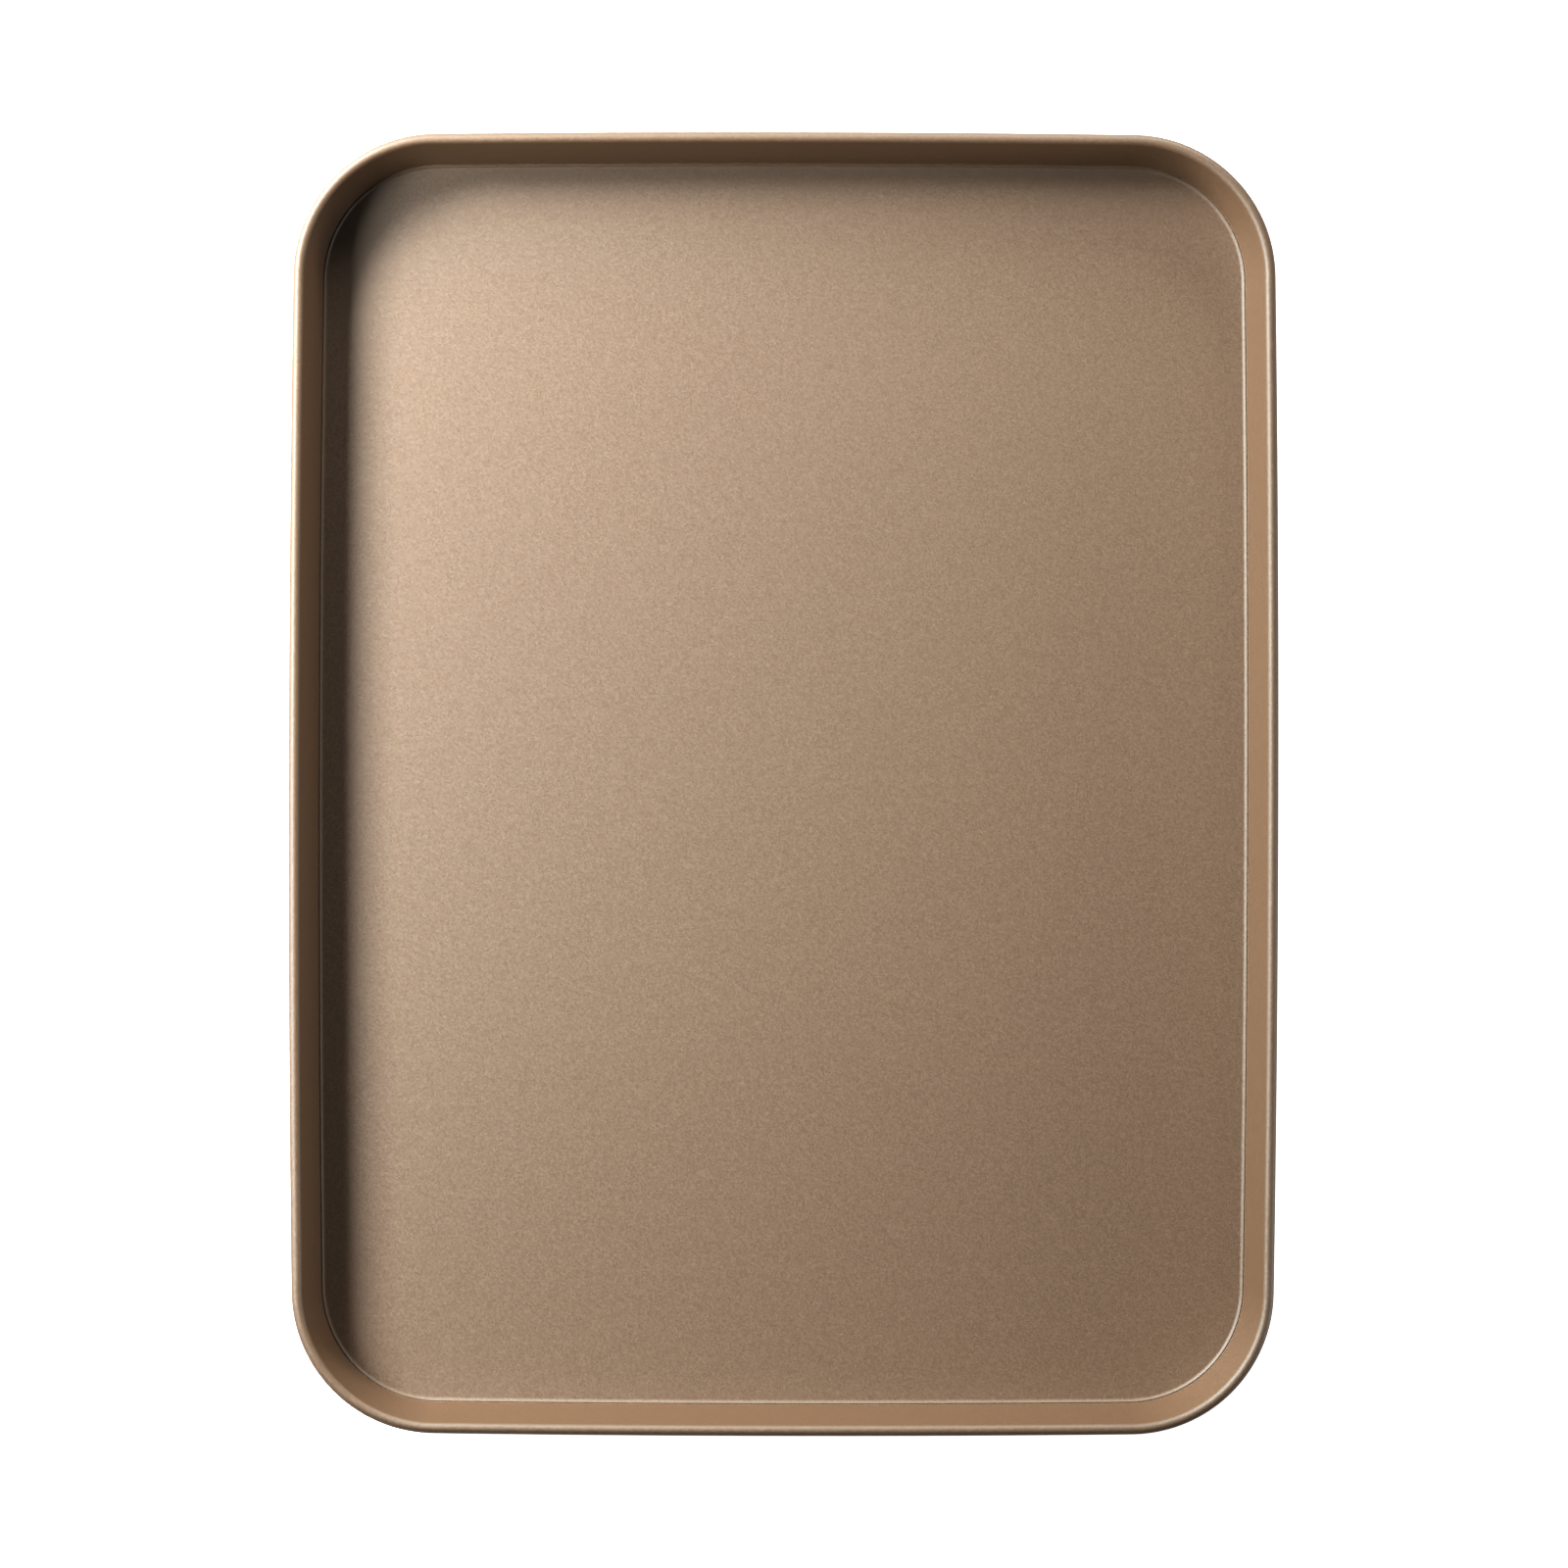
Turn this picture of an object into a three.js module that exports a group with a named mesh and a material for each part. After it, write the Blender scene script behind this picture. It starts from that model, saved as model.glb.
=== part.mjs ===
// A rectangular baking pan: one steel sheet pressed into a shallow tray with round corners and
// leaning walls, its rim curled outwards round a stiffening wire.
// Millimetres, +Z up. The origin is the middle of the underside, and +Y runs along the length.
import * as THREE from "three";

const { degToRad } = THREE.MathUtils;
const QUARTER_TURN = Math.PI / 2;

// Driving dimensions of the tray
const LENGTH = 382; // over the rim, along Y
const WIDTH = 290; // over the rim, along X
const HEIGHT = 22; // from the underside to the top of the rim
const SHEET = 0.6; // steel thickness
const CORNER_RADIUS = 42; // in plan, at the outside of the rim
const LONG_SIDE_BOW = 1.1; // how far the middle of a long side stands out beyond its ends
const SHORT_SIDE_BOW = 0.65; // the same on a short side
const WALL_LEAN = degToRad(12); // from upright, outwards
const BASE_RADIUS = 2.3; // inside, where the floor turns up into the wall

// Driving dimensions of the rim
const WIRE_DIAMETER = 1.6;
const WIRE_CLEARANCE = 0.25; // all round, between the wire and the curl
const WIRE_BUTT_GAP = 0.5; // between the two ends of the hoop
const CURL_SLOT = 0.45; // between the curl's cut edge and the wall

// Facets
const SECTION_STEP = degToRad(18); // on the arcs of the section
const CORNER_STEPS = 10; // round each corner
const SIDE_STEPS = 4; // along each bowed side
const WIRE_SIDES = 12;
const SAME_POINT = 1e-6; // points closer than this are one

// Places that follow from the driving dimensions. In a section, x runs outwards from the outline of
// the rim, so it is negative on the pan, and y runs upwards.
const curlBore = WIRE_DIAMETER / 2 + WIRE_CLEARANCE;
const curlRadius = curlBore + SHEET;
const curlCentre = new THREE.Vector2(-curlRadius, HEIGHT - curlRadius);
const curlStart = Math.PI - WALL_LEAN; // where the wall runs into the curl
const curlEnd = curlStart - 2 * Math.PI + Math.acos((curlBore - CURL_SLOT) / curlRadius); // its cut edge
const baseCentre = baseArcCentre();

// The base arc touches the floor and the wall's inside, a line that touches the curl's outside.
// The wall lies BASE_RADIUS from the arc's centre and curlRadius from the curl's, on opposite sides.
function baseArcCentre() {
  const y = SHEET + BASE_RADIUS;
  const drop = curlCentre.y - y;
  const reach = (curlRadius + BASE_RADIUS) / Math.cos(WALL_LEAN);
  return new THREE.Vector2(curlCentre.x - drop * Math.tan(WALL_LEAN) - reach, y);
}

// Points along a path's curves: one step along a line, and short equal steps along an arc.
function facet(path) {
  const points = path.curves.flatMap((curve) => {
    const turn = curve.isEllipseCurve ? Math.abs(curve.aEndAngle - curve.aStartAngle) : 0;
    return curve.getPoints(Math.max(1, Math.ceil(turn / SECTION_STEP)));
  });
  return points.filter((point, i) => i === 0 || point.distanceTo(points[i - 1]) > SAME_POINT);
}

// The sheet in section, from the floor's inside, up the wall, round the curl to its cut edge, and
// back along the other face to the underside. The curl has points at its top and its outermost place,
// so the faceted pan keeps its full height and width.
function sheetSection() {
  const path = new THREE.Path();
  path.absarc(baseCentre.x, baseCentre.y, BASE_RADIUS, -QUARTER_TURN, -WALL_LEAN, false);
  path.absarc(curlCentre.x, curlCentre.y, curlRadius, curlStart, QUARTER_TURN, true);
  path.absarc(curlCentre.x, curlCentre.y, curlRadius, QUARTER_TURN, 0, true);
  path.absarc(curlCentre.x, curlCentre.y, curlRadius, 0, curlEnd, true);
  path.absarc(curlCentre.x, curlCentre.y, curlBore, curlEnd, curlStart, false);
  path.absarc(baseCentre.x, baseCentre.y, BASE_RADIUS + SHEET, -WALL_LEAN, -QUARTER_TURN, true);
  return facet(path);
}

// The wire in section, a ring of points that runs clockwise round the middle of the curl.
function wireSection() {
  return Array.from({ length: WIRE_SIDES }, (_, i) => {
    const angle = (-2 * Math.PI * i) / WIRE_SIDES;
    const spoke = new THREE.Vector2(Math.cos(angle), Math.sin(angle));
    return spoke.multiplyScalar(WIRE_DIAMETER / 2).add(curlCentre);
  });
}

// Radius of an arc that stands out by bow over half a chord.
function bowRadius(halfChord, bow) {
  return (halfChord * halfChord + bow * bow) / (2 * bow);
}

// The outline of the rim in plan, as arcs that run anticlockwise from the middle of the +X side: four
// bowed sides, each touching the round corners at its ends. An arc has the angles that it runs from
// and to, and its count of steps.
function outlineArcs() {
  const longRadius = bowRadius(LENGTH / 2 - CORNER_RADIUS, LONG_SIDE_BOW);
  const shortRadius = bowRadius(WIDTH / 2 - CORNER_RADIUS, SHORT_SIDE_BOW);
  const long = new THREE.Vector2(WIDTH / 2 - longRadius, 0);
  const short = new THREE.Vector2(0, LENGTH / 2 - shortRadius);
  const corner = cornerCentre(long, longRadius - CORNER_RADIUS, short, shortRadius - CORNER_RADIUS);
  const longEnd = corner.clone().sub(long).angle();
  const shortEnd = corner.clone().sub(short).angle();

  const quarter = [
    { centre: long, radius: longRadius, from: 0, to: longEnd, steps: SIDE_STEPS / 2 },
    { centre: corner, radius: CORNER_RADIUS, from: longEnd, to: shortEnd, steps: CORNER_STEPS },
    { centre: short, radius: shortRadius, from: shortEnd, to: QUARTER_TURN, steps: SIDE_STEPS / 2 },
  ];
  const mirrored = [...quarter].reverse().map(({ centre, from, to, ...same }) => ({
    ...same,
    centre: new THREE.Vector2(-centre.x, centre.y),
    from: Math.PI - to,
    to: Math.PI - from,
  }));
  const half = [...quarter, ...mirrored];
  const opposite = half.map(({ centre, from, to, ...same }) => ({
    ...same,
    centre: centre.clone().negate(),
    from: from + Math.PI,
    to: to + Math.PI,
  }));
  return [...half, ...opposite];
}

// The middle of the corner at +X +Y: the point that lies longReach from the long side's centre and
// shortReach from the short side's.
function cornerCentre(long, longReach, short, shortReach) {
  const across = short.clone().sub(long);
  const span = across.length();
  const along = (span * span + longReach * longReach - shortReach * shortReach) / (2 * span);
  const aside = Math.sqrt(longReach * longReach - along * along);
  const direction = across.divideScalar(span);
  const square = new THREE.Vector2(-direction.y, direction.x);
  return long.clone().addScaledVector(direction, along).addScaledVector(square, aside);
}

// Stations round the outline, each a point and the direction straight out of the pan there.
function outlineStations() {
  return outlineArcs().flatMap(({ centre, radius, from, to, steps }) =>
    Array.from({ length: steps }, (_, i) => {
      const angle = THREE.MathUtils.lerp(from, to, i / steps);
      const outward = new THREE.Vector2(Math.cos(angle), Math.sin(angle));
      return { point: centre.clone().addScaledVector(outward, radius), outward };
    }),
  );
}

// The same stations as an open run, which starts and stops half a gap from the middle of the +X side.
function openStations(gap) {
  const [middle, ...rest] = outlineStations();
  const shifted = (y) => ({ point: new THREE.Vector2(middle.point.x, y), outward: middle.outward });
  return [shifted(gap / 2), ...rest, shifted(-gap / 2)];
}

// A section carried round the stations, with its material on the right of the way that it runs. A closed
// run joins its last station to its first, and its open section is closed by the flat floor and
// underside. An open run has a closed section and flat ends.
class SweptGeometry extends THREE.BufferGeometry {
  constructor(section, stations, closedRun) {
    super();
    const columns = section.length;
    const rows = stations.length;
    const positions = stations.flatMap(({ point, outward }) =>
      section.flatMap(({ x, y }) => [point.x + outward.x * x, point.y + outward.y * x, y]),
    );
    const vertex = (row, column) => (row % rows) * columns + (column % columns);
    const faces = [];
    const lastRow = closedRun ? rows : rows - 1;
    const lastColumn = closedRun ? columns - 1 : columns;
    for (let row = 0; row < lastRow; row++) {
      for (let column = 0; column < lastColumn; column++) {
        const [a, b] = [vertex(row, column), vertex(row + 1, column)];
        const [c, d] = [vertex(row + 1, column + 1), vertex(row, column + 1)];
        faces.push(a, c, b, a, d, c);
      }
    }
    if (closedRun) {
      const floor = positions.push(0, 0, section[0].y) / 3 - 1;
      const underside = positions.push(0, 0, section[columns - 1].y) / 3 - 1;
      for (let row = 0; row < rows; row++) {
        faces.push(floor, vertex(row, 0), vertex(row + 1, 0));
        faces.push(underside, vertex(row + 1, columns - 1), vertex(row, columns - 1));
      }
    } else {
      for (let column = 1; column < columns - 1; column++) {
        faces.push(vertex(0, 0), vertex(0, column + 1), vertex(0, column));
        faces.push(vertex(rows - 1, 0), vertex(rows - 1, column), vertex(rows - 1, column + 1));
      }
    }
    this.setAttribute("position", new THREE.Float32BufferAttribute(positions, 3));
    this.setIndex(faces);
    this.computeVertexNormals();
  }
}

// The pressed sheet: floor, walls and curled rim in one piece, with a satin champagne coating.
function panBody() {
  const coating = new THREE.MeshStandardMaterial({ color: 0xa88a6e, roughness: 0.42, metalness: 0.75 });
  const mesh = new THREE.Mesh(new SweptGeometry(sheetSection(), outlineStations(), true), coating);
  mesh.name = "pan_body";
  return mesh;
}

// The wire that the rim is curled round: one length bent into a hoop, with its ends butted.
function rimWire() {
  const steel = new THREE.MeshStandardMaterial({ color: 0x9a9b9c, roughness: 0.4, metalness: 1 });
  const hoop = new SweptGeometry(wireSection(), openStations(WIRE_BUTT_GAP), false);
  const mesh = new THREE.Mesh(hoop, steel);
  mesh.name = "rim_wire";
  return mesh;
}

const bakingPan = new THREE.Group();
bakingPan.name = "baking_pan";
bakingPan.add(panBody(), rimWire());

export default bakingPan;
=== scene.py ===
"""A coated steel baking pan, seen from straight above on a white studio floor."""

import math

import bmesh
import bpy
import numpy as np
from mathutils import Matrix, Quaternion, Vector


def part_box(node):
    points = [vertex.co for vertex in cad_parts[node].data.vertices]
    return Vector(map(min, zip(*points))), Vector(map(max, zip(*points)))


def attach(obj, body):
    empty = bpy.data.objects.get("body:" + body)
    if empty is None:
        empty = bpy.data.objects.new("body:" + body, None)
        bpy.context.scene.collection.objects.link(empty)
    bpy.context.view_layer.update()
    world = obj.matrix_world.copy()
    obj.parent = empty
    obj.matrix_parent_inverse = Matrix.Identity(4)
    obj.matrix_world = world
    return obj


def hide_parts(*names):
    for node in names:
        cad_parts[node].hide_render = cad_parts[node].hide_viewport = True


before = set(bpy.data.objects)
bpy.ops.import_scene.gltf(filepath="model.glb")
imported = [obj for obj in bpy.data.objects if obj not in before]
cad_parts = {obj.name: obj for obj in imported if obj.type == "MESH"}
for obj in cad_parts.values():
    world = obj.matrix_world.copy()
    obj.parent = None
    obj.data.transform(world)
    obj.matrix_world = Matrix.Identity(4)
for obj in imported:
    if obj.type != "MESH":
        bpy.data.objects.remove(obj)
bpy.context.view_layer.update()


# The pan body is one sheet of carbon steel, drawn in a press to a floor, leaning walls and round corners.
# A fine bead is coined round the floor at the foot of the walls, and the trimmed edge is curled outwards over
# a wire. Both faces carry a sprayed champagne-brown flake coat, and only the cut edge shows bare steel.
pan_low, pan_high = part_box("pan_body")
LENGTH = pan_high.y - pan_low.y
WIDTH = pan_high.x - pan_low.x
HEIGHT = pan_high.z - pan_low.z
SHEET = 0.0006
CORNER_RADIUS = 0.042
LONG_SIDE_BOW = 0.0011
SHORT_SIDE_BOW = 0.00065
WALL_LEAN = math.radians(12)
BASE_RADIUS = 0.0023
BEAD_RADIUS = 0.0013
BEAD_SLOPE = math.radians(46)
CREST_RADIUS = 0.0003
GROOVE_SLOPE = math.radians(-42)
GROOVE_RADIUS = 0.00015
CURL_BORE = 0.00105
CURL_SLOT = 0.00045
CURL_RADIUS = CURL_BORE + SHEET
CURL_CENTRE = np.array([-CURL_RADIUS, HEIGHT - CURL_RADIUS])
CURL_START = math.pi - WALL_LEAN
CURL_END = CURL_START - 2 * math.pi + math.acos((CURL_BORE - CURL_SLOT) / CURL_RADIUS)

HALF_LONG_SIDE_STEPS = 14
CORNER_STEPS = 40
HALF_SHORT_SIDE_STEPS = 10
FLOOR_RINGS = 24
BEAD_STEPS = 10
BASE_STEPS = 14
WALL_STEPS = 10
CURL_STEPS = 56
EDGE_STEPS = 4
SHARP_FROM = math.radians(40)
SAME_POINT = 1e-7

FLAKE_SIZE = 0.00045
FLAKE_TILT = 0.045
MEAN_CELL = (0.5, 0.5, 0.5)
COAT_LIGHT = (0.182, 0.0938, 0.0365, 1)
COAT_DARK = (0.148, 0.0762, 0.0295, 1)
COAT_ROUGHNESS = 0.615
COAT_IOR = 2.3
PEARL_TINT = (0.88, 1, 1, 1)
PEARL_LEVEL = 0.5
PEARL_LEVEL_ASLANT = 0.4
FACING_OPEN = 0.4
FACING_ASLANT = 0.8
PEEL_SIZE = 0.0022
PEEL_DETAIL = 2
PEEL_HEIGHT = 0.0000015
BARE_STEEL = (0.52, 0.5, 0.47, 1)


def arc(centre, radius, start, stop, steps):
    """Points on a circle: centre + radius (cos, sin) at equal steps of angle, both ends included."""
    angle = np.linspace(start, stop, steps + 1)
    return np.asarray(centre) + radius * np.stack([np.cos(angle), np.sin(angle)], axis=1)


def line(start, stop, steps):
    """Points between two ends, in equal steps, with neither end included."""
    share = np.linspace(0, 1, steps + 1)[1:-1, None]
    return start + share * (stop - start)


def bow_radius(half_chord, bow):
    """Radius of an arc that stands out by bow over half its chord: (half_chord² + bow²) / 2 bow."""
    return (half_chord**2 + bow**2) / (2 * bow)


def rim_outline():
    """Points round the outside of the rim with the way out there, as rows of x, y, out x, out y.

    A quarter is three arcs that touch: half a bowed long side, a round corner and half a bowed short
    side. The corner's centre lies a corner radius inside both sides, so it is where two circles about
    the sides' centres meet. The quarter is mirrored to a half, and the half is turned to the whole.
    """
    long_radius = bow_radius(LENGTH / 2 - CORNER_RADIUS, LONG_SIDE_BOW)
    short_radius = bow_radius(WIDTH / 2 - CORNER_RADIUS, SHORT_SIDE_BOW)
    long_centre = np.array([WIDTH / 2 - long_radius, 0])
    short_centre = np.array([0, LENGTH / 2 - short_radius])
    long_reach = long_radius - CORNER_RADIUS
    short_reach = short_radius - CORNER_RADIUS
    across = short_centre - long_centre
    span = np.hypot(*across)
    along = (span**2 + long_reach**2 - short_reach**2) / (2 * span)
    aside = math.sqrt(long_reach**2 - along**2)
    square = np.array([-across[1], across[0]])
    corner_centre = long_centre + (across * along + square * aside) / span

    long_end = math.atan2(*(corner_centre - long_centre)[::-1])
    short_end = math.atan2(*(corner_centre - short_centre)[::-1])
    stretches = [
        (long_centre, long_radius, 0, long_end, HALF_LONG_SIDE_STEPS),
        (corner_centre, CORNER_RADIUS, long_end, short_end, CORNER_STEPS),
        (short_centre, short_radius, short_end, math.pi / 2, HALF_SHORT_SIDE_STEPS),
    ]
    arcs = [arc(*stretch) for stretch in stretches]
    ways_out = [arc((0, 0), 1, start, stop, steps) for _, _, start, stop, steps in stretches]
    rows = [np.hstack(pair)[:-1] for pair in zip(arcs, ways_out)]
    top_row = np.hstack([arcs[-1][-1], ways_out[-1][-1]])
    quarter = np.vstack([*rows, top_row])
    mirrored = quarter[-2::-1] * (-1, 1, -1, 1)
    half = np.vstack([quarter, mirrored])[:-1]
    return np.vstack([half, -half])


def foot_of_wall(wall_top):
    """The floor's edge in section: up a bead, over its crest, down into a groove and round up into the wall.

    It is three arcs that follow on from each other. The way along starts flat, each arc turns it left or
    right to a new slope, and the arc's centre lies a radius to that side of the arc's start. The run is
    then moved, so that it starts at the floor's height and ends on the wall's line.
    """
    turns = [
        (BEAD_RADIUS, BEAD_SLOPE),
        (CREST_RADIUS, GROOVE_SLOPE),
        (GROOVE_RADIUS, math.pi / 2 - WALL_LEAN),
    ]
    run = np.zeros((1, 2))
    slope = 0
    for radius, new_slope in turns:
        side = math.copysign(1, new_slope - slope)
        centre = run[-1] + side * radius * np.array([-math.sin(slope), math.cos(slope)])
        quarter_turn = side * math.pi / 2
        bend = arc(centre, radius, slope - quarter_turn, new_slope - quarter_turn, BEAD_STEPS)
        run = np.vstack([run, bend[1:]])
        slope = new_slope
    climb = wall_top[1] - SHEET - run[-1, 1]
    wall_foot = wall_top[0] - climb * math.tan(WALL_LEAN)
    return run + (wall_foot - run[-1, 0], SHEET)


def sheet_section():
    """The sheet in section, as rows of distance out from the rim's outline and height.

    The food side runs from the floor over the bead, up the wall and over the curl to its cut edge. The
    other face runs back from there to the underside. Also gives the cut edge's first column.
    """
    base_height = SHEET + BASE_RADIUS
    drop = CURL_CENTRE[1] - base_height
    reach = (CURL_RADIUS + BASE_RADIUS) / math.cos(WALL_LEAN)
    base_centre = (CURL_CENTRE[0] - drop * math.tan(WALL_LEAN) - reach, base_height)

    curl_outside = arc(CURL_CENTRE, CURL_RADIUS, CURL_START, CURL_END, CURL_STEPS)
    base_inside = foot_of_wall(curl_outside[0])
    curl_inside = arc(CURL_CENTRE, CURL_BORE, CURL_END, CURL_START, CURL_STEPS)
    base_outside = arc(base_centre, BASE_RADIUS + SHEET, -WALL_LEAN, -math.pi / 2, BASE_STEPS)
    wall_inside = line(base_inside[-1], curl_outside[0], WALL_STEPS)
    cut_edge = line(curl_outside[-1], curl_inside[0], EDGE_STEPS)
    wall_outside = line(curl_inside[-1], base_outside[0], WALL_STEPS)
    food_side = np.vstack([base_inside, wall_inside, curl_outside])
    whole = np.vstack([food_side, cut_edge, curl_inside, wall_outside, base_outside])
    return whole, len(food_side) - 1


def swept(outline, section):
    """A section carried round an outline: each point lies its distance out from it, at its height."""
    place = outline[:, None, :2] + outline[:, None, 2:] * section[None, :, :1]
    height = np.broadcast_to(section[None, :, 1:], (len(outline), len(section), 1))
    return np.concatenate([place, height], axis=2)


def drawn_in(ring, rings):
    """A ring of points drawn in towards the Z axis in equal steps, from the ring itself to a point."""
    share = np.linspace(1, 0, rings + 1)[None, :, None]
    flat = ring[:, None, :] * (1, 1, 0) * share
    return flat + ring[:, None, :] * (0, 0, 1)


def surface(name, points, columns_join=False, rows_join=False):
    """A piece with a face for each cell of a grid of points.

    Rows or columns join where the last runs on into the first. In section, with rows going away from
    the eye on the right of the pan, a face's front is on the left of the way that the columns run.
    """
    rows, columns = points.shape[:2]
    index = np.arange(rows * columns).reshape(rows, columns)
    index = np.vstack([index, index[:1]]) if rows_join else index
    index = np.hstack([index, index[:, :1]]) if columns_join else index
    corners = [index[:-1, :-1], index[:-1, 1:], index[1:, 1:], index[1:, :-1]]
    mesh = bpy.data.meshes.new(name)
    mesh.from_pydata(points.reshape(-1, 3), [], np.stack(corners, axis=2).reshape(-1, 4))
    piece = bpy.data.objects.new(name, mesh)
    bpy.context.scene.collection.objects.link(piece)
    return piece


def finish_surface(piece):
    """Merges the points that fall together, so that poles and seams close, and shades the piece smooth."""
    shell = bmesh.new()
    shell.from_mesh(piece.data)
    bmesh.ops.remove_doubles(shell, verts=shell.verts, dist=SAME_POINT)
    shell.to_mesh(piece.data)
    shell.free()
    piece.data.shade_smooth()
    piece.data.set_sharp_from_angle(angle=SHARP_FROM)


def add_node(tree, kind, inputs, **settings):
    """A node with its settings made, and each named input set to a value or linked to another's output."""
    node = tree.nodes.new(kind)
    for setting, value in settings.items():
        setattr(node, setting, value)
    for socket, value in inputs.items():
        if isinstance(value, bpy.types.NodeSocket):
            tree.links.new(value, node.inputs[socket])
        else:
            node.inputs[socket].default_value = value
    return node


def new_material(name):
    """An empty node material and its tree."""
    material = bpy.data.materials.new(name)
    material.use_nodes = True
    material.node_tree.nodes.clear()
    return material, material.node_tree


def champagne_coat():
    """Pearl flake in a brown lacquer: each cell leans its own way, and is a little lighter or darker.

    The flake lies flat in the lacquer, so it shines less on a face that is seen aslant.
    """
    material, tree = new_material("flake_coat")
    place = tree.nodes.new("ShaderNodeTexCoord").outputs["Object"]
    surface_normal = tree.nodes.new("ShaderNodeNewGeometry").outputs["Normal"]
    cell = add_node(tree, "ShaderNodeTexVoronoi", {"Vector": place, "Scale": 1 / FLAKE_SIZE})
    lean = add_node(
        tree,
        "ShaderNodeVectorMath",
        {0: cell.outputs["Color"], 1: MEAN_CELL},
        operation="SUBTRACT",
    )
    tilted = add_node(
        tree,
        "ShaderNodeVectorMath",
        {0: lean.outputs[0], 1: (2 * FLAKE_TILT,) * 3, 2: surface_normal},
        operation="MULTIPLY_ADD",
    )
    shade = add_node(tree, "ShaderNodeValToRGB", {"Fac": cell.outputs["Color"]})
    shade.color_ramp.elements[0].color = COAT_DARK
    shade.color_ramp.elements[1].color = COAT_LIGHT
    peel_inputs = {"Vector": place, "Scale": 1 / PEEL_SIZE, "Detail": PEEL_DETAIL}
    peel = add_node(tree, "ShaderNodeTexNoise", peel_inputs)
    bumped = add_node(
        tree,
        "ShaderNodeBump",
        {"Height": peel.outputs["Fac"], "Distance": PEEL_HEIGHT, "Normal": tilted.outputs[0]},
    )
    facing = tree.nodes.new("ShaderNodeLayerWeight").outputs["Facing"]
    pearl = add_node(
        tree,
        "ShaderNodeMapRange",
        {
            "Value": facing,
            "From Min": FACING_OPEN,
            "From Max": FACING_ASLANT,
            "To Min": PEARL_LEVEL,
            "To Max": PEARL_LEVEL_ASLANT,
        },
    )
    coat = add_node(
        tree,
        "ShaderNodeBsdfPrincipled",
        {
            "Base Color": shade.outputs["Color"],
            "Roughness": COAT_ROUGHNESS,
            "IOR": COAT_IOR,
            "Specular IOR Level": pearl.outputs["Result"],
            "Specular Tint": PEARL_TINT,
            "Normal": bumped.outputs["Normal"],
        },
    )
    add_node(tree, "ShaderNodeOutputMaterial", {"Surface": coat.outputs["BSDF"]})
    return material


def bare_steel():
    """Sheared steel at the sheet's cut edge."""
    material, tree = new_material("bare_steel_edge")
    place = tree.nodes.new("ShaderNodeTexCoord").outputs["Object"]
    grain = add_node(tree, "ShaderNodeTexNoise", {"Vector": place, "Scale": 1 / FLAKE_SIZE})
    steel = add_node(
        tree,
        "ShaderNodeBsdfPrincipled",
        {"Base Color": BARE_STEEL, "Metallic": 1, "Roughness": grain.outputs["Fac"]},
    )
    add_node(tree, "ShaderNodeOutputMaterial", {"Surface": steel.outputs["BSDF"]})
    return material


outline = rim_outline()
section, edge_column = sheet_section()
sheet = swept(outline, section)
floor_rings = drawn_in(sheet[:, 0], FLOOR_RINGS)[:, :0:-1]
underside_rings = drawn_in(sheet[:, -1], FLOOR_RINGS)[:, 1:]
pan_points = np.concatenate([floor_rings, sheet, underside_rings], axis=1)
pan_body = surface("pan_body_coated", pan_points, rows_join=True)
pan_body.data.materials.append(champagne_coat())
pan_body.data.materials.append(bare_steel())
column = np.arange(pan_points.shape[1] - 1)
on_edge = (column >= FLOOR_RINGS + edge_column) & (column < FLOOR_RINGS + edge_column + EDGE_STEPS)
pan_body.data.polygons.foreach_set("material_index", np.tile(on_edge, len(pan_points)).astype(np.int32))
finish_surface(pan_body)
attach(pan_body, "root")
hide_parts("pan_body")


# The rim wire is one length of zinc-plated drawn steel wire, bent to a hoop with its ends butted at the
# middle of the +X side. The sheet's edge is curled round it, and it shows only through the curl's slot.
WIRE_RADIUS = 0.0008
WIRE_BUTT_GAP = 0.0005
WIRE_SIDES = 24
ZINC_LIGHT = (0.62, 0.63, 0.64, 1)
ZINC_DARK = (0.42, 0.43, 0.45, 1)
SPANGLE_SIZE = 0.004
SPANGLE_DETAIL = 3
ZINC_ROUGHNESS = 0.38


def zinc_plate():
    """Bright zinc on drawn wire, with soft light and dark spangle."""
    material, tree = new_material("zinc_plate")
    place = tree.nodes.new("ShaderNodeTexCoord").outputs["Object"]
    spangle_inputs = {"Vector": place, "Scale": 1 / SPANGLE_SIZE, "Detail": SPANGLE_DETAIL}
    spangle = add_node(tree, "ShaderNodeTexNoise", spangle_inputs)
    shade = add_node(tree, "ShaderNodeValToRGB", {"Fac": spangle.outputs["Fac"]})
    shade.color_ramp.elements[0].color = ZINC_DARK
    shade.color_ramp.elements[1].color = ZINC_LIGHT
    zinc = add_node(
        tree,
        "ShaderNodeBsdfPrincipled",
        {"Base Color": shade.outputs["Color"], "Metallic": 1, "Roughness": ZINC_ROUGHNESS},
    )
    add_node(tree, "ShaderNodeOutputMaterial", {"Surface": zinc.outputs["BSDF"]})
    return material


wire_ring = arc(CURL_CENTRE, WIRE_RADIUS, 0, -2 * math.pi, WIRE_SIDES)[:-1]
half_gap = np.array([0, WIRE_BUTT_GAP / 2, 0, 0])
hoop = np.vstack([outline[:1] + half_gap, outline[1:], outline[:1] - half_gap])
wire_tube = swept(hoop, wire_ring)
wire_ends = wire_tube[[0, -1]].mean(axis=1, keepdims=True).repeat(WIRE_SIDES, axis=1)
rim_wire = surface("rim_wire_hoop", np.vstack([wire_ends[:1], wire_tube, wire_ends[1:]]), columns_join=True)
rim_wire.data.materials.append(zinc_plate())
finish_surface(rim_wire)
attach(rim_wire, "root")
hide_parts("rim_wire")


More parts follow.
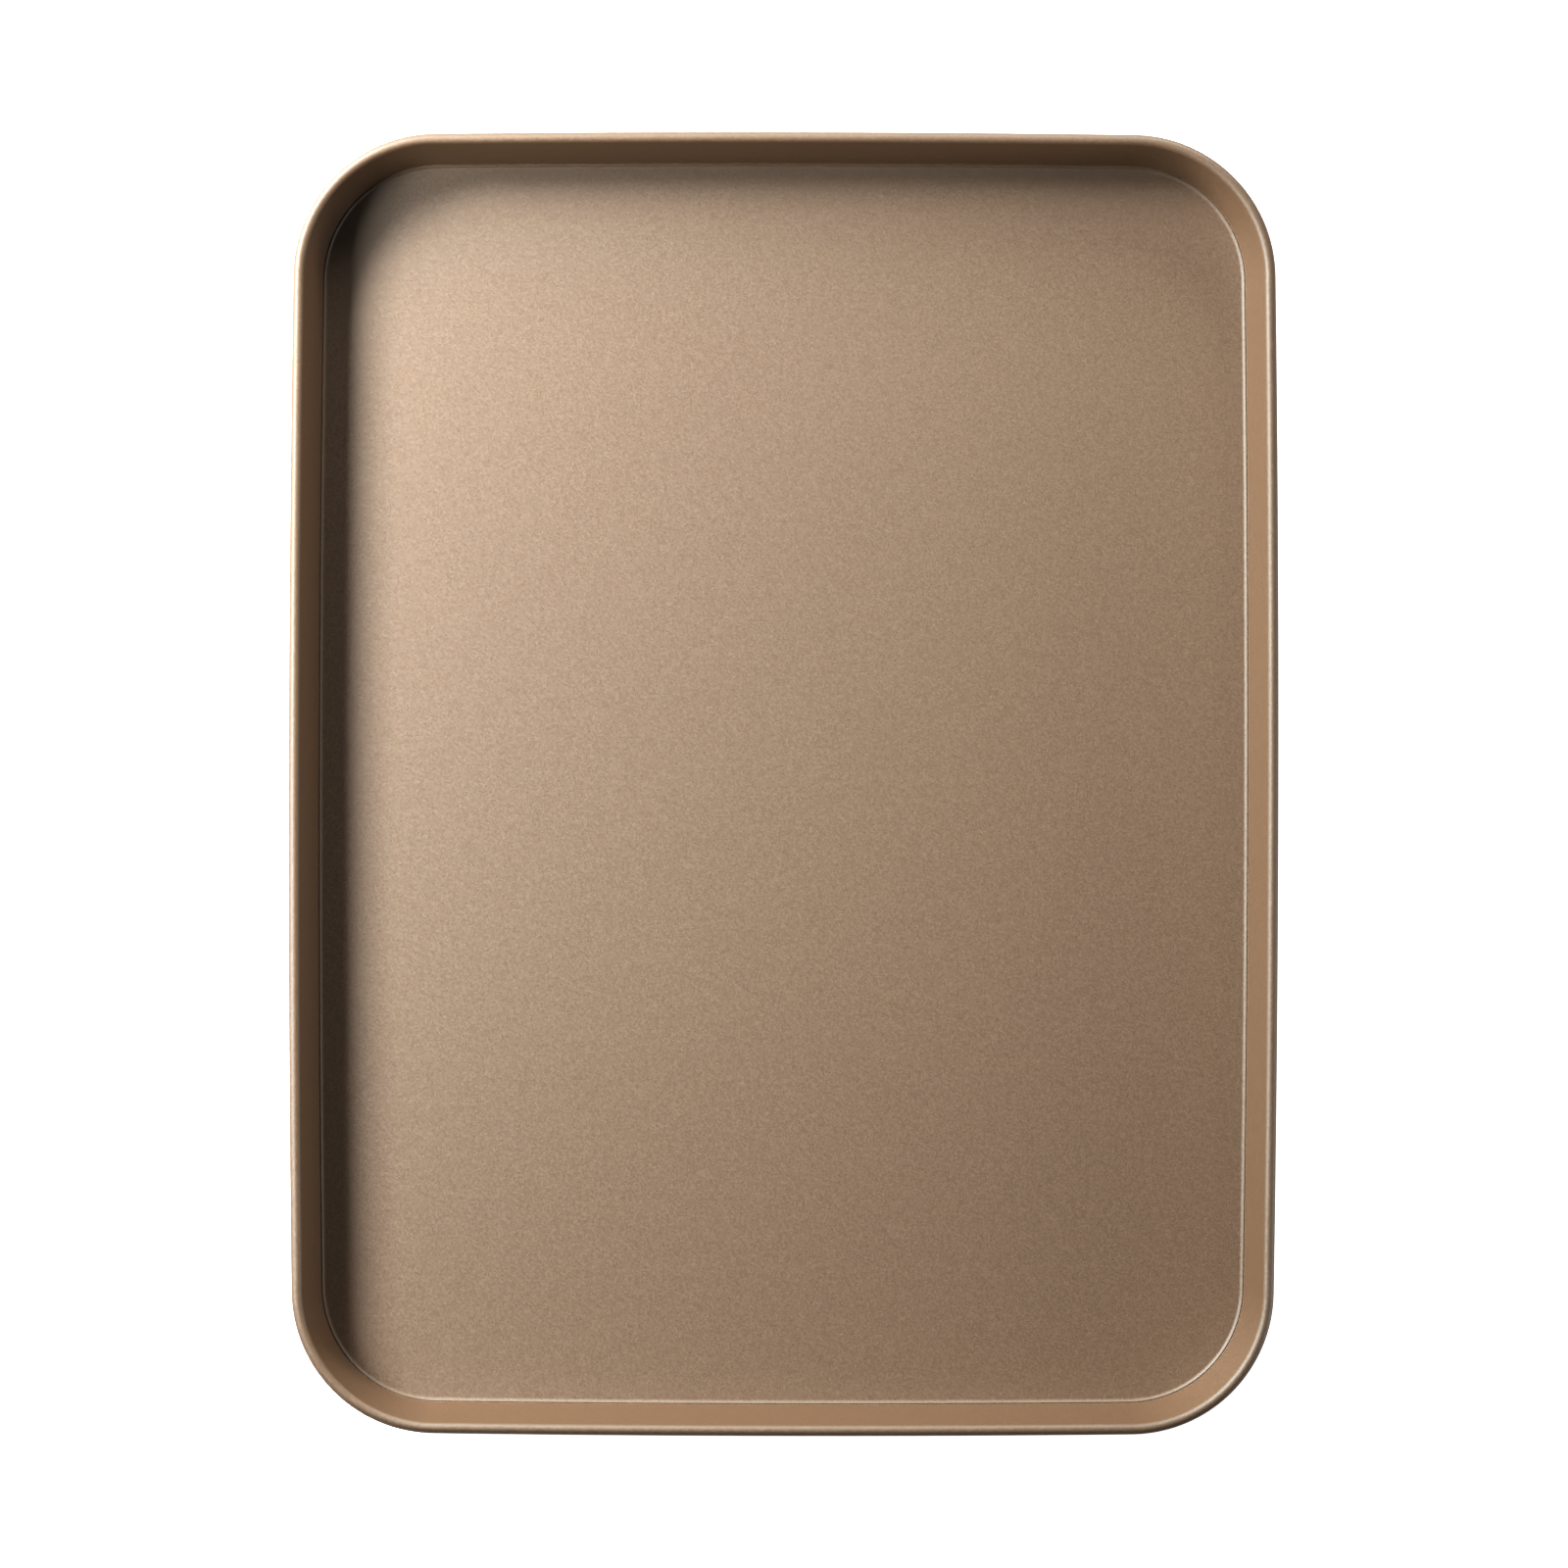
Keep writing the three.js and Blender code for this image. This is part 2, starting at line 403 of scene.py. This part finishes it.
# The studio floor is a wide sheet of white paper. The camera sees it glowing past white, with a painted
# contact shadow from ambient occlusion where the pan's foot closes over it. The pan sees it as matt paper
# under the studio lamps.
FLOOR_SIDE = 40
FLOOR_DROP = 0.0001
PAPER = (0.8, 0.8, 0.8, 1)
PAPER_ROUGHNESS = 0.9
# How far from the pan the painted contact shadow reaches.
PAINTED_SHADOW_REACH = 0.008

floor_corners = np.array([(-1, -1), (1, -1), (1, 1), (-1, 1)]) * FLOOR_SIDE / 2
floor_mesh = bpy.data.meshes.new("studio_floor")
floor_mesh.from_pydata([(x, y, -FLOOR_DROP) for x, y in floor_corners], [], [(0, 1, 2, 3)])
studio_floor = bpy.data.objects.new("studio_floor", floor_mesh)
bpy.context.scene.collection.objects.link(studio_floor)
paper, paper_tree = new_material("white_paper")
seen = paper_tree.nodes.new("ShaderNodeLightPath").outputs["Is Camera Ray"]
# Ambient occlusion darkens the paper's glow next to the pan's foot: a painted contact shadow, not a cast one.
painted_contact_shadow = add_node(paper_tree, "ShaderNodeAmbientOcclusion", {"Distance": PAINTED_SHADOW_REACH})
glow_with_painted_shadow = add_node(paper_tree, "ShaderNodeMath", {0: seen, 1: painted_contact_shadow.outputs["AO"]}, operation="MULTIPLY")
white = add_node(
    paper_tree,
    "ShaderNodeBsdfPrincipled",
    {
        "Base Color": PAPER,
        "Roughness": PAPER_ROUGHNESS,
        "Emission Color": (1, 1, 1, 1),
        "Emission Strength": glow_with_painted_shadow.outputs[0],
    },
)
add_node(paper_tree, "ShaderNodeOutputMaterial", {"Surface": white.outputs["BSDF"]})
studio_floor.data.materials.append(paper)


# The light is a key softbox at the upper left of the picture, with a narrow one on the left and a farther one
# behind it. Weaker lamps fill in from the top, from overhead and from low on the right. The room beyond the
# paper looks white and gives no light.
COOL_WHITE = (0.925, 0.965, 1)
WARM_WHITE = (1, 0.95, 0.9)
WHITE = (1, 1, 1)


def softbox(name, azimuth, zenith, distance, size, power, colour, roll=0):
    """An area light that faces the pan, at an azimuth from +X and a zenith angle, rolled about its own axis.

    The angles are in degrees, the size is its length and its width in metres, and the power is in watts.
    """
    lamp = bpy.data.lights.new(name, "AREA")
    lamp.shape = "RECTANGLE"
    lamp.size, lamp.size_y = size
    lamp.energy = power
    lamp.color = colour
    holder = bpy.data.objects.new(name, lamp)
    turn, tip = math.radians(azimuth), math.radians(zenith)
    away = Vector((math.sin(tip) * math.cos(turn), math.sin(tip) * math.sin(turn), math.cos(tip)))
    holder.location = away * distance
    facing = away.to_track_quat("Z", "Y") @ Quaternion((0, 0, 1), math.radians(roll))
    holder.rotation_euler = facing.to_euler()
    bpy.context.scene.collection.objects.link(holder)


softbox("key_lamp", 135, 59, distance=0.75, size=(0.23, 0.2), power=8.8, colour=COOL_WHITE, roll=37.5)
softbox("side_lamp", 178, 49, distance=0.75, size=(0.08, 0.25), power=6.75, colour=COOL_WHITE)
softbox("far_lamp", 141, 50, distance=1.5, size=(0.33, 0.33), power=11.3, colour=WARM_WHITE)
softbox("fill_lamp", 71, 66, distance=1.3, size=(0.4, 0.4), power=10.9, colour=WHITE)
softbox("overhead_lamp", 180, 20, distance=1.3, size=(0.8, 0.8), power=0.85, colour=WHITE)
softbox("low_lamp", 345, 80, distance=1.3, size=(0.4, 0.4), power=5.5, colour=WHITE)

room = bpy.data.worlds.new("studio_room")
room.use_nodes = True
backdrop = room.node_tree.nodes["Background"]
backdrop.inputs["Color"].default_value = (1, 1, 1, 1)
room_seen = room.node_tree.nodes.new("ShaderNodeLightPath").outputs["Is Camera Ray"]
room.node_tree.links.new(room_seen, backdrop.inputs["Strength"])
bpy.context.scene.world = room


# The camera hangs straight over the pan on a long lens, turned a hair about its own axis. A pixel's size is
# given at the level where the rim is widest. The picture is shown with a contrast like the photograph's: its
# values are raised to a power, which leaves white as it is.
PIXEL = 0.0002871
PICTURE_PIXELS = 1600
PICTURE_WIDTH = PICTURE_PIXELS * PIXEL
CAMERA_HEIGHT = 2.1
CAMERA_ASIDE = 0.00015
CAMERA_ROLL = 0.0018
CAMERA_CONTRAST = 1.35
camera_data = bpy.data.cameras.new("overhead_camera")
camera_data.lens = camera_data.sensor_width * CAMERA_HEIGHT / PICTURE_WIDTH
camera = bpy.data.objects.new("overhead_camera", camera_data)
camera.location = (CAMERA_ASIDE, 0, CURL_CENTRE[1] + CAMERA_HEIGHT)
camera.rotation_euler.z = CAMERA_ROLL
bpy.context.scene.collection.objects.link(camera)
bpy.context.scene.camera = camera
bpy.context.scene.view_settings.view_transform = "Standard"
bpy.context.scene.view_settings.gamma = 1 / CAMERA_CONTRAST
